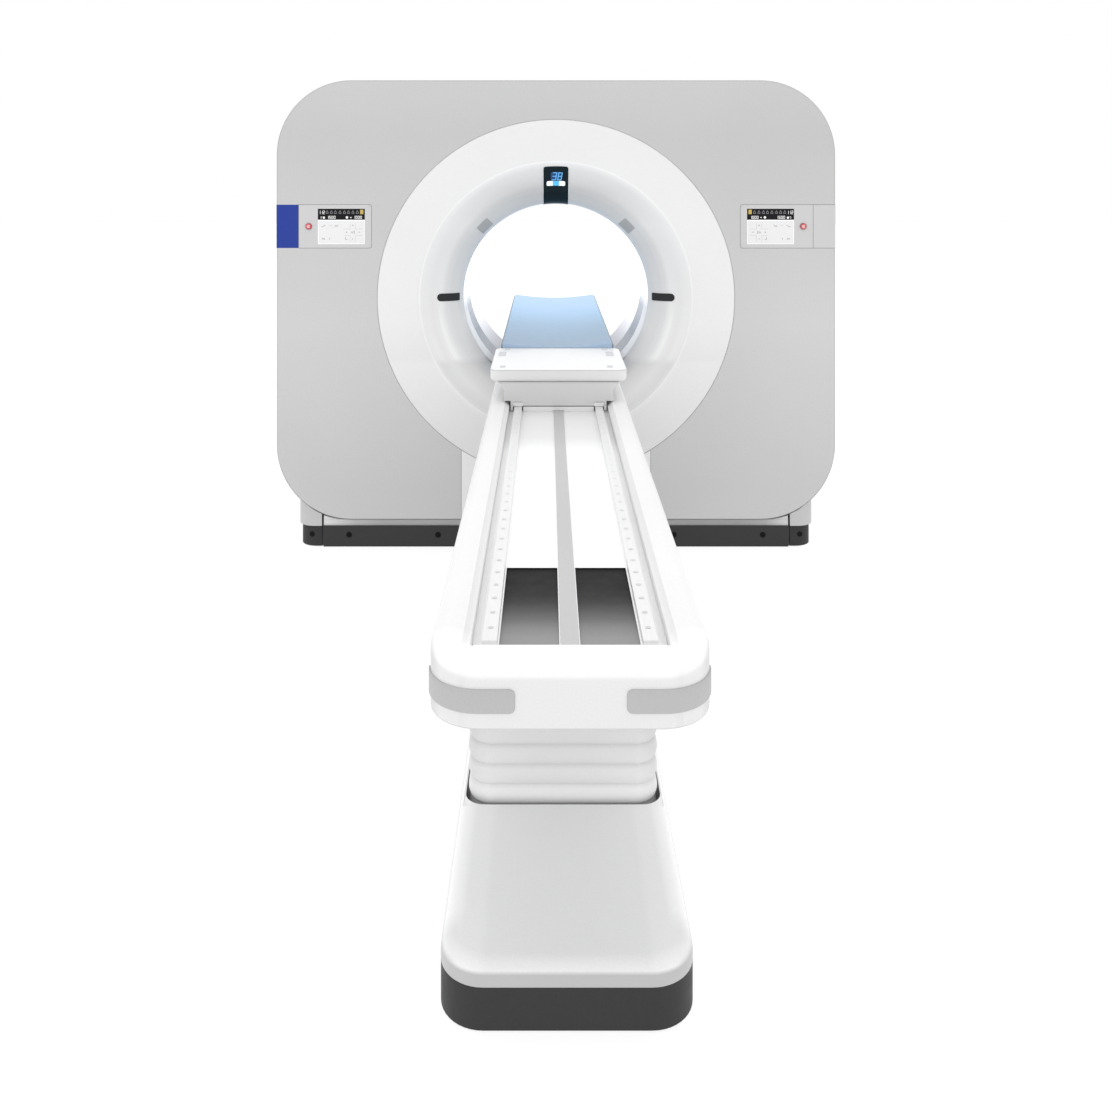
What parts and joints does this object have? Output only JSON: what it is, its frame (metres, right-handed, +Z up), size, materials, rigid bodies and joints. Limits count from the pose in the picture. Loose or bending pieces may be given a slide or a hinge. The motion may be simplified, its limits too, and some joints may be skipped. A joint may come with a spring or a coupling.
{
  "type": "ct scanner",
  "caption": "Medical CT scanner: an upright gantry with a round patient bore and a turning rotor, and a lifting couch whose table slides through the bore.",
  "frame": {"origin": "on the floor under the isocentre, which is the middle of the bore between its front and rear scan planes", "axes": "+X to the right and +Y towards the gantry for someone at the couch's free end, +Z up; the bore's axis is parallel to Y"},
  "size_m": [2.374, 3.823, 1.984],
  "materials": {
    "cover_grey": "satin",
    "ring_white": "satin",
    "pale_grey": "satin",
    "dark_grey": "matte",
    "window_blue": "gloss",
    "black_glass": "gloss",
    "smoked_glass": "gloss",
    "screen": "gloss",
    "plate_blue": "satin",
    "button_red": "gloss",
    "frame_paint": "satin",
    "drum_paint": "satin",
    "bearing_steel": "satin",
    "slip_brass": "satin",
    "copper_coil": "satin",
    "tube_metal": "satin",
    "weight_iron": "rough",
    "bellows_skin": "matte",
    "couch_white": "satin",
    "bumper_grey": "matte",
    "rail_steel": "satin",
    "belt_grey": "matte",
    "carbon_grey": "satin",
    "mat_blue": "soft"
  },
  "bodies": {
    "gantry": {"gantry_base_frame": "frame_paint", "stator_frame": "frame_paint", "bearing_outer_race": "bearing_steel", "drive_coils": "copper_coil", "front_cover": "cover_grey", "front_funnel": "ring_white", "front_apron": "pale_grey", "scan_window": "window_blue", "rear_funnel": "ring_white", "rear_cover": "cover_grey", "left_side_cover": "pale_grey", "right_side_cover": "pale_grey", "top_cover": "pale_grey", "kick_plates": "dark_grey", "plinth_strips": "pale_grey", "corner_pods": "pale_grey", "corner_skirts": "dark_grey", "kick_plate_screws": "bearing_steel", "left_panel_bezel": "cover_grey", "right_panel_bezel": "cover_grey", "left_touchscreen": "screen", "right_touchscreen": "screen", "left_side_plate": "plate_blue", "right_side_plate": "cover_grey", "status_display": "black_glass", "laser_windows": "smoked_glass", "side_sensors": "black_glass", "brush_block": "dark_grey", "power_cabinet": "frame_paint", "couch_base_plate": "frame_paint", "couch_base_skirt": "dark_grey", "couch_base_cover": "pale_grey", "lift_column_outer": "frame_paint", "lift_actuator": "tube_metal", "bellows": "bellows_skin"},
    "rotor": {"rotor_drum": "drum_paint", "bearing_inner_race": "bearing_steel", "slip_ring": "slip_brass", "xray_tube": "tube_metal", "tube_cooler": "tube_metal", "collimator": "weight_iron", "detector_arc": "drum_paint", "hv_generator": "frame_paint", "counterweight": "weight_iron"},
    "couch_top": {"couch_body": "couch_white", "couch_frame": "frame_paint", "trough_floor": "couch_white", "couch_rails": "rail_steel", "table_belt": "belt_grey", "couch_bumpers": "bumper_grey", "lift_column_inner": "frame_paint", "lift_actuator_rod": "bearing_steel", "table_motor": "dark_grey"},
    "table": {"carriage_block": "couch_white", "rail_bearings": "bearing_steel", "tabletop": "carbon_grey", "table_mat": "mat_blue"},
    "left_stop": {"left_stop_button": "button_red"},
    "right_stop": {"right_stop_button": "button_red"}
  },
  "joints": [
    {"name": "rotor_spin", "type": "hinge", "parent": "gantry", "child": "rotor", "pos_m": [0, 0, 1.058], "axis": [0, 1, 0], "continuous": true},
    {"name": "couch_lift", "type": "slide", "parent": "gantry", "child": "couch_top", "axis": [0, 0, 1], "range_m": [-0.15, 0.05], "deforming": ["bellows"]},
    {"name": "table_slide", "type": "slide", "parent": "couch_top", "child": "table", "axis": [0, 1, 0], "range_m": [-1.7, 0.4]},
    {"name": "left_stop_press", "type": "slide", "parent": "gantry", "child": "left_stop", "axis": [0, 1, 0], "range_m": [0, 0.005], "stiffness_N_per_m": 600, "springref_m": -0.004},
    {"name": "right_stop_press", "type": "slide", "parent": "gantry", "child": "right_stop", "axis": [0, 1, 0], "range_m": [0, 0.005], "stiffness_N_per_m": 600, "springref_m": -0.004}
  ]
}
